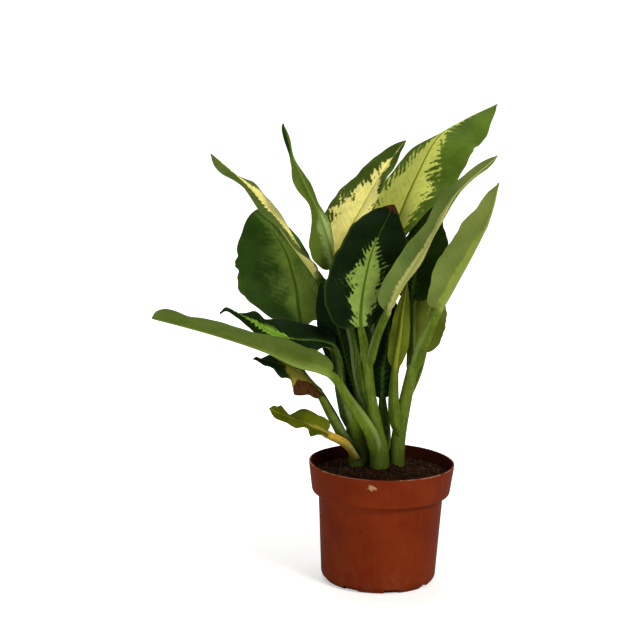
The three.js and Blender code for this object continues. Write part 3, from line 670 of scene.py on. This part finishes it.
def leaf_surface(leaf):
    """The leaf's middle surface: points[row, column] in mm, and what the finish needs at each."""
    line, length = smooth_line(leaf["path"])
    base, total = length[LINE_STEPS * (leaf["stalk"] - 1)], length[-1]
    stations, t = (np.concatenate([np.linspace(0, middle, STALK_ROWS, endpoint=False),
                                   np.linspace(start, stop, BLADE_ROWS)])
                   for middle, start, stop in ((base, base, total), (1, 0, 1)))
    t = t[:, None]
    spine = along_line(line, length, stations)
    blade = (np.arange(len(stations)) >= STALK_ROWS)[:, None]
    turn = math.radians(leaf["heading"])
    level = np.array([-math.sin(turn), math.cos(turn), 0.0])
    along = unit(np.gradient(spine, axis=0))
    side = unit(level - along * (along @ level)[:, None])
    up = np.cross(along, side)
    full = np.where(blade, fullness(t, *leaf["shape"]), 0)
    rib = np.where(blade, STALK_RADIUS + (RIB_TIP_RADIUS - STALK_RADIUS) * t,
                   (leaf["sheath"] + (STALK_RADIUS - leaf["sheath"]) * t**1.3)
                   * (SHEATH_START + (1 - SHEATH_START) * np.minimum(t / SHEATH_OPENS, 1)))
    column = np.arange(-SIDE_COLUMNS, SIDE_COLUMNS + 1)[None, :] / SIDE_COLUMNS
    share = np.abs(column)
    is_left = column < 0
    half_width = np.where(is_left, leaf["left"][0], leaf["right"][0])
    least = np.where(blade, np.maximum(STALK_RADIUS * (1 - t), TIP_HALF_WIDTH), rib)
    trims = [eased(half[2], t) if len(half) > 2 else 1 for half in (leaf["left"], leaf["right"])]
    # The outline strays by a few hundredths, differently on each side and each leaf.
    stray = (1 + 0.02 * np.sin(29 * t + 3 * is_left + leaf["heading"])
             + 0.012 * np.sin(61 * t + 5 * is_left))
    width = np.maximum(half_width * full * np.where(is_left, *trims) * stray, least)
    spread = np.clip((width - rib) / (3 * STALK_RADIUS), 0, 1)
    across = width * share ** (1 + 0.9 * spread)
    lifts = [np.where(blade, eased(half[1], t), STALK_CHANNEL + (half[1][0] - STALK_CHANNEL) * t)
             for half in (leaf["left"], leaf["right"])]
    fold = (lifts[0] + lifts[1]) / 2 * np.minimum(width / FOLD_WIDTH, 1)
    tilt = (lifts[0] - lifts[1]) / 2
    cup = np.where(blade, -CUP * ramp(width, 4, 16), 0) * (share - 0.45)
    angle = np.radians(fold + np.where(is_left, tilt, -tilt) + cup)
    # Three waves run up the edge with small ones on them, and the halves are out of step.
    phase = np.where(is_left, 0, 2.1)
    edge_wave = leaf["wave"] * np.minimum(full, 1) * (
        np.sin(6 * np.pi * t + phase) * share**2 + 0.22 * np.sin(23 * t + 2.5 * phase) * share**4)
    wave = np.where(blade, edge_wave, 0)
    # The halves reach back at the base and sweep forward towards the tip.
    lobe = np.where(blade, 0.35 * share**1.5 * (1 - t) ** 5, 0)
    sweep = np.where(blade, 0.2 * share, 0)
    forward = (sweep - lobe) * width * (full > 0)
    sideways = np.where(is_left, 1, -1) * across * np.cos(angle)
    upwards = across * np.sin(angle) + wave
    points = (spine[:, None] + side[:, None] * sideways[..., None]
              + up[:, None] * upwards[..., None] + along[:, None] * forward[..., None])
    # The side veins leave the rib at a slant and bend further forward near the edge.
    distance = stations[:, None] - base + forward
    bent = distance - 0.7 * across - 0.006 * across**2
    vein = bent / leaf["veins"] + np.where(is_left, 0.35, 0)
    near_rib = np.exp(-(across / (0.75 * rib)) ** 2)
    facts = {
        "across": np.broadcast_to(column, across.shape),
        "reach": np.where(is_left, *[eased(stations, t) for stations in leaf["reach"]]),
        "vein": vein,
        "rib": near_rib,
        "along": np.broadcast_to(np.where(blade, t, t - 1), across.shape),
        "edge": np.where(blade, 0, ramp(share, 0.86, 1)) * ramp(t, 1, 0.35),
    }
    for kind, where, off, long, wide in leaf["patches"]:
        away = np.hypot((facts["along"] - where) / long, (column - off) / wide)
        facts[kind] = np.maximum(facts.get(kind, 0), np.clip(1.2 - away, 0, 1))
    return points, across, rib, blade, t, full, facts


def surface_normals(points):
    ahead = np.gradient(points, axis=0)
    rightward = np.gradient(points, axis=1)
    return unit(np.cross(ahead, -rightward))


def make_leaf(name, leaf):
    """A leaf as one closed skin, thick along its stalk and rib and thin at its edge."""
    points, across, rib, blade, t, full, facts = leaf_surface(leaf)
    share = np.abs(facts["across"])
    normals = surface_normals(points)
    quilt = 0.5 - 0.5 * np.cos(2 * np.pi * facts["vein"])
    quilt = quilt**0.7 * ramp(across, 1.5, 7) * ramp(share, 1, 0.8)
    quilt *= np.where(blade, ramp(full, 0.25, 0.8), 0)
    crumple = np.zeros_like(across)
    if "dry" in facts:
        far = facts["along"]
        crumple = np.sin(31 * far + 9 * share) * np.sin(17 * share + 40 * far) * facts["dry"]
    points = points + normals * (QUILT * quilt + CRUMPLE * crumple)[..., None]
    normals = surface_normals(points)
    middle = normals[:, SIDE_COLUMNS:SIDE_COLUMNS + 1]
    swell = np.sqrt(np.clip(1 - (across / (1.05 * rib)) ** 2, 0, 1))
    thickness = (BLADE_THICKNESS + (MARGIN_THICKNESS - BLADE_THICKNESS) * share**2) / 2
    # The stalk's top is a dome with a channel, and the blade's rib lies in a shallow groove.
    rounding = np.where(blade, ramp(t, 0.05, 0), ramp(t, 0.25, 0.75))
    dome = rounding * rib * (0.5 * swell - 0.42 * np.exp(-(across / (0.42 * rib)) ** 2))
    groove = np.where(blade, 0.32 * rib * ramp(t, 0, 0.06), 0) * np.exp(-(across / (0.7 * rib)) ** 2)
    keel = STALK_DEPTH * rib * swell
    above = points + normals * thickness[..., None] + middle * (dome - groove)[..., None]
    below = points - normals * thickness[..., None] - middle * keel[..., None]
    rows, columns = across.shape
    count = rows * columns
    grid = np.arange(count).reshape(rows, columns)
    a, b, c, d = grid[:-1, :-1], grid[:-1, 1:], grid[1:, 1:], grid[1:, :-1]
    top = np.stack([a, b, c, d], -1).reshape(-1, 4)
    faces = np.vstack([top, top[:, ::-1] + count])
    rim = []
    for j, turn in ((0, 1), (columns - 1, -1)):
        p, q = grid[:-1, j], grid[1:, j]
        rim.append(np.stack([p, q, q + count, p + count], -1)[:, ::turn])
    for i, turn in ((0, -1), (rows - 1, 1)):
        p, q = grid[i, :-1], grid[i, 1:]
        rim.append(np.stack([p, q, q + count, p + count], -1)[:, ::turn])
    faces = np.vstack([faces] + rim)
    skin = np.vstack([above.reshape(-1, 3), below.reshape(-1, 3)])
    piece = new_piece(name.replace("leaf", "blade"), skin, faces.tolist(),
                      leaf_material(name.replace("_", " "), leaf), sharp=60)
    on_both = {label: np.tile(values.ravel(), 2) for label, values in facts.items()}
    on_both["underside"] = np.repeat([0, 1], count)
    for label, values in on_both.items():
        layer = piece.data.attributes.new(label, "FLOAT", "POINT")
        layer.data.foreach_set("value", values.astype(np.float32))
    return piece


def rounded_outline(corners, steps=6):
    """The outline with each corner turned into an arc of its rounding."""
    outline = [corners[0][:2]]
    for (ax, az, _), (bx, bz, radius), (cx, cz, _) in zip(corners, corners[1:], corners[2:]):
        back, on = Vector((ax - bx, az - bz)), Vector((cx - bx, cz - bz))
        cut = min(radius, 0.49 * back.length, 0.49 * on.length)
        start, end, corner = back.normalized() * cut, on.normalized() * cut, Vector((bx, bz))
        for k in range(steps + 1):
            u = k / steps
            outline.append(tuple(corner + start * (1 - u) ** 2 + end * u**2))
    return outline + [corners[-1][:2]]


def ring_faces(rings, segments):
    """The faces of a closed skin over a first point, rings of points going up and a last point."""
    faces = []
    last = 1 + (rings - 1) * segments
    for j in range(segments):
        k = (j + 1) % segments
        faces.append((0, 1 + k, 1 + j))
        for low in range(1, last, segments):
            high = low + segments
            faces.append((low + j, low + k, high + k, high + j))
        faces.append((last + j, last + k, last + segments))
    return faces


def turned(outline, segments):
    """Points and faces of an outline turned round the Z axis, closed at both poles."""
    points = [(0, 0, outline[0][1])]
    angles = np.linspace(0, 2 * np.pi, segments, endpoint=False)
    for r, z in outline[1:-1]:
        points += [(r * math.cos(a), r * math.sin(a), z) for a in angles]
    points.append((0, 0, outline[-1][1]))
    return np.array(points, float), ring_faces(len(outline) - 2, segments)


def apply_modifiers(piece):
    """Turns what a piece's modifiers make into its plain mesh."""
    shaped = piece.evaluated_get(bpy.context.evaluated_depsgraph_get())
    made = bpy.data.meshes.new_from_object(shaped)
    piece.modifiers.clear()
    piece.data = made
    return piece


def make_pot():
    points, faces = turned(rounded_outline(POT_OUTLINE), POT_SEGMENTS)
    # Towards its rim the thin pot is a little out of round and not quite level.
    angle = np.arctan2(points[:, 1], points[:, 0])
    high = ramp(points[:, 2], 60, POT_HEIGHT)
    stretch = 1 + high * (0.0035 * np.sin(2 * angle + 0.6) + 0.0016 * np.sin(5 * angle))
    points[:, :2] *= stretch[:, None]
    points[:, 2] -= high * 0.22 * (1 + np.sin(3 * angle + 1))
    pot = new_piece("nursery_pot", points, faces, pot_material())
    corners = [(x * SLOT_HALF_DEPTH, y * half_width, z) for half_width, z in SLOT_SIDES
               for x, y in ((-1, -1), (1, -1), (1, 1), (-1, 1))]
    cutters = []
    for k in range(SLOTS):
        spin = Matrix.Rotation(2 * math.pi * (k + SLOT_FIRST) / SLOTS, 3, "Z")
        cutters += [tuple(spin @ Vector((SLOT_RADIUS + x, y, z))) for x, y, z in corners]
    box = [(0, 3, 2, 1), (4, 5, 6, 7), (0, 1, 5, 4), (1, 2, 6, 5), (2, 3, 7, 6), (3, 0, 4, 7)]
    boxes = [tuple(8 * k + corner for corner in face) for k in range(SLOTS) for face in box]
    slots = new_piece("drain_slots", cutters, boxes, pot.data.materials[0])
    cut = pot.modifiers.new("drain slots", "BOOLEAN")
    cut.operation, cut.solver, cut.object = "DIFFERENCE", "EXACT", slots
    apply_modifiers(pot)
    bpy.data.objects.remove(slots)
    pot.data.shade_smooth()
    pot.data.set_sharp_from_angle(angle=math.radians(35))
    return pot


def soil_height(x, y):
    """The top of the soil: a low mound round the canes, with lumps and small crumbs."""
    mound = np.exp(-((x**2 + (y - 8) ** 2) / SOIL_CROWN_RADIUS**2))
    lumps = np.sin(x / 5.5 + 1) * np.cos(y / 4.7) + 0.6 * np.sin((x + 2 * y) / 7.3)
    small = np.sin(x / 1.7 + 0.6 * y) * np.cos(y / 1.4 - 0.3 * x)
    small += 0.7 * np.sin(x * 1.3) * np.sin(y * 1.1 + 2)
    return SOIL_EDGE + (SOIL_CROWN - SOIL_EDGE) * mound + 0.7 * lumps + 0.35 * small


def make_soil():
    angles = np.linspace(0, 2 * np.pi, SOIL_SEGMENTS, endpoint=False)
    round_axis = np.array([np.cos(angles), np.sin(angles)])
    rows = []
    for i in range(1, SOIL_RINGS + 1):
        x, y = SOIL_RADIUS * i / SOIL_RINGS * round_axis
        rows.append(np.stack([x, y, soil_height(x, y)], 1))
    for radius, z in SOIL_SIDE:
        rows.append(np.stack([*(radius * round_axis), np.full(SOIL_SEGMENTS, z)], 1))
    middle = soil_height(np.zeros(1), np.zeros(1))[0]
    points = np.vstack([(0, 0, middle), *rows, (0, 0, SOIL_SIDE[-1][1])])
    # The rings go down here, so each face is turned round.
    faces = [face[:1] + face[:0:-1] for face in ring_faces(len(rows), SOIL_SEGMENTS)]
    return new_piece("potting_soil", points, faces, soil_material("moist soil", *SOIL), sharp=70)


# ---- geometry nodes ----


def geometry_group(name, inputs, wire):
    """A modifier's tree, which ends as the export needs it: real geometry with its material."""
    def ends(given):
        real = add("GeometryNodeRealizeInstances", {0: wire(given)})
        smooth = add("GeometryNodeSetShadeSmooth", {0: real})
        return {"Geometry": add("GeometryNodeSetMaterial", {0: smooth, 2: given["Material"]})}

    shape = {"Geometry": ["Geometry"]}
    return make_group(
        "GeometryNodeTree", name, {**shape, **inputs, "Material": ["Material"]}, shape, ends)


def wire_cane(given):
    """A tube along a line whose points hold its girth."""
    line = add("GeometryNodeMeshToCurve", {0: given["Geometry"]})
    girth = place(line.tree, "GeometryNodeInputNamedAttribute", {0: "girth"}, data_type="FLOAT")
    ring = add("GeometryNodeCurvePrimitiveCircle", {"Resolution": given["Sides"], "Radius": 1.0})
    return add("GeometryNodeCurveToMesh", {
        "Curve": line, "Profile Curve": ring, "Scale": girth, "Fill Caps": True})


def scatter_tree(name, shape):
    """Small bits strewn over the top of the soil. shape adds the bit to a tree."""
    def wire(given):
        tree, seed = given["Geometry"].tree, given["Seed"]
        flat = vector_maths("MULTIPLY", place(tree, "GeometryNodeInputPosition"), (1, 1, 0))
        near = maths("LESS_THAN", vector_maths("LENGTH", flat), given["Reach"])
        upward = axis(place(tree, "GeometryNodeInputNormal"), "Z")
        dots = add("GeometryNodeDistributePointsOnFaces", {
            "Mesh": given["Geometry"], "Selection": maths("GREATER_THAN", upward, 0.3) * near,
            "Density": given["Density"], "Seed": seed})
        size = add("FunctionNodeRandomValue", {
            2: given["Smallest"], 3: given["Largest"], "Seed": seed}, 1, data_type="FLOAT")
        turn = place(tree, "FunctionNodeRandomValue", {
            0: (0, 0, 0), 1: (6.28, 6.28, 6.28), "Seed": 7}, data_type="FLOAT_VECTOR")
        return add("GeometryNodeInstanceOnPoints", {
            "Points": dots, "Instance": shape(tree), "Rotation": turn, "Scale": size})

    return geometry_group(
        name, {"Float": ["Density", "Smallest", "Largest", "Reach"], "Int": ["Seed"]}, wire)


def crumb(tree):
    ball = place(tree, "GeometryNodeMeshIcoSphere", {"Radius": 1.0, "Subdivisions": 1})
    jolt = place(tree, "ShaderNodeTexNoise", {"Scale": 1.3, "Detail": 1.0}, "Color")
    shift = vector_maths("SUBTRACT", jolt, (0.5, 0.5, 0.5))
    return add("GeometryNodeSetPosition", {0: ball, 3: shift})


def bark_chip(tree):
    return place(tree, "GeometryNodeMeshCube", {"Size": (2.6, 1.2, 0.7)})


def fibre(tree):
    arc = place(tree, "GeometryNodeCurveQuadraticBezier", {
        "Resolution": 6, "Start": (-3, 0, 0), "Middle": (0.4, 1.6, 1.2), "End": (3, -0.4, 0.3)})
    ring = place(tree, "GeometryNodeCurvePrimitiveCircle", {"Resolution": 4, "Radius": 0.11})
    return add("GeometryNodeCurveToMesh", {"Curve": arc, "Profile Curve": ring, "Fill Caps": True})


def run_tree(source, name, tree, **values):
    """Runs a tree on a copy of a piece's mesh and keeps the result as a plain piece."""
    piece = bpy.data.objects.new(name, source.data.copy())
    bpy.context.collection.objects.link(piece)
    modifier = piece.modifiers.new(tree.name, "NODES")
    modifier.node_group = tree
    for item in tree.interface.items_tree:
        if item.in_out == "INPUT" and item.name in values:
            modifier[item.identifier] = values[item.name]
    piece.data.materials.clear()
    return apply_modifiers(piece)


def make_cane(name, stations, tree, material):
    line, length = smooth_line(stations)
    reached = np.linspace(0, length[-1], CANE_ROWS)
    points = along_line(line, length, reached)
    top = np.clip(1 - (length[-1] - reached) / CANE_TOP, 0, 1)
    girth = points[:, 3] * np.sqrt(np.clip(1 - top**2, 0.02, 1))
    mesh = bpy.data.meshes.new(name)
    mesh.from_pydata((points[:, :3] * MM).tolist(), [(i, i + 1) for i in range(CANE_ROWS - 1)], [])
    layer = mesh.attributes.new("girth", "FLOAT", "POINT")
    layer.data.foreach_set("value", (girth * MM).astype(np.float32))
    source = bpy.data.objects.new(name + "_line", mesh)
    cane = run_tree(source, name, tree, Sides=CANE_SIDES, Material=material)
    bpy.data.objects.remove(source)
    return cane


# ---- the plant ----

pot = make_pot()
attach(pot, "root")
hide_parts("pot")

soil = make_soil()
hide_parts("soil")
# Each kind of bit: how many lie on a square metre, the smallest and the largest size and how far
# from the axis they lie, in metres, the seed of their places, and their earth.
scatters = [
    ("soil_crumbs", crumb, 260000.0, 0.0005, 0.0015, 0.0555, 3, "soil crumb", CRUMB),
    ("bark_chips", bark_chip, 16000.0, 0.0005, 0.0011, 0.05, 5, "bark chip", BARK),
    ("root_fibres", fibre, 14000.0, 0.0006, 0.0014, 0.048, 9, "root fibre", ROOT),
]
for name, shape, density, smallest, largest, reach, seed, earth_name, earth in scatters:
    bits = run_tree(soil, name, scatter_tree(name.replace("_", " "), shape),
                    Density=density, Smallest=smallest, Largest=largest, Reach=reach, Seed=seed,
                    Material=soil_material(earth_name, *earth))
    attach(bits, "root")
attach(soil, "root")

cane_skin = cane_material()
cane_shape = geometry_group("cane", {"Int": ["Sides"]}, wire_cane)
for name, stations in CANES.items():
    cane = make_cane(f"stem_{name}", stations, cane_shape, cane_skin)
    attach(cane, "root")
    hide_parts(f"cane_{name}")

for name, leaf in LEAVES.items():
    blade = make_leaf(name, {**LEAF_DEFAULTS, **leaf})
    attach(blade, "root")
    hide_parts(name)

# ---- stage, light and camera ----

SKY_LIGHT = 0.14  # though the camera sees it white
FLOOR_REACH = 9000  # mm
FLOOR_GLOW = 0.45  # under the pot
GLOW_RISES = (0.1, 0.7)  # metres from the pot, where the floor goes over to white
CAMERA_AIM = (-54.3, 0, 218.1)  # mm
CAMERA_AWAY = 2.0  # metres
CAMERA_TILT = 11.81  # degrees down
CAMERA_ROLL = 1.64
LENS = 137.77  # mm, on a sensor 36 mm wide


def area_light(name, spot, aim, size, power, tint):
    light = bpy.data.lights.new(name, "AREA")
    light.shape, light.size, light.energy, light.color = "DISK", size, power, tint
    lamp = bpy.data.objects.new(name, light)
    lamp.location = spot
    lamp.rotation_euler = (Vector(aim) - Vector(spot)).to_track_quat("-Z", "Y").to_euler()
    bpy.context.collection.objects.link(lamp)


def seen_by_camera(tree):
    return place(tree, "ShaderNodeLightPath", output="Is Camera Ray")


# Painted light: the floor glows for the camera only, dimmer under the pot so a soft shadow shows and
# full white further out.
floor_material, floor_spot = new_material("studio floor")
rise = step(vector_maths("LENGTH", floor_spot), *GLOW_RISES)
glow = seen_by_camera(floor_spot.tree) * blend_value(rise, FLOOR_GLOW, 1.0)
set_shader(floor_material, Base_Color=(0.86, 0.86, 0.86, 1), Roughness=0.9, Specular_IOR_Level=0.0,
           Emission_Color=(1, 1, 1, 1), Emission_Strength=glow)
floor = new_piece("studio_floor", [(x * FLOOR_REACH, y * FLOOR_REACH, 0) for x, y in (
    (-1, -1), (1, -1), (1, 1), (-1, 1))], [(0, 1, 2, 3)], floor_material)

world = bpy.data.worlds.new("studio")
bpy.context.scene.world = world
world.use_nodes = True
sky = world.node_tree.nodes["Background"].inputs
sky["Color"].default_value = (1, 1, 1, 1)
connect(blend_value(seen_by_camera(world.node_tree), SKY_LIGHT, 1.0), sky["Strength"])

area_light("key", (1.15, -1.35, 1.6), (-0.03, 0, 0.15), 0.9, 38, (1, 0.96, 0.88))
area_light("fill", (-0.9, -1.6, 0.35), (-0.03, 0, 0.15), 1.2, 10, (0.98, 0.98, 1))
area_light("top", (-0.2, 0.5, 1.7), (-0.03, 0, 0.2), 1.2, 16, (1, 1, 1))

lens = bpy.data.cameras.new("portrait")
lens.sensor_width, lens.lens = 36, LENS
lens.clip_end = 50
camera = bpy.data.objects.new("portrait", lens)
bpy.context.collection.objects.link(camera)
bpy.context.scene.camera = camera
camera.matrix_world = (
    Matrix.Translation(Vector(CAMERA_AIM) * MM)
    @ Matrix.Rotation(math.radians(90 - CAMERA_TILT), 4, "X")
    @ Matrix.Rotation(math.radians(CAMERA_ROLL), 4, "Z")
    @ Matrix.Translation((0, 0, CAMERA_AWAY)))
bpy.context.scene.view_settings.view_transform = "Standard"
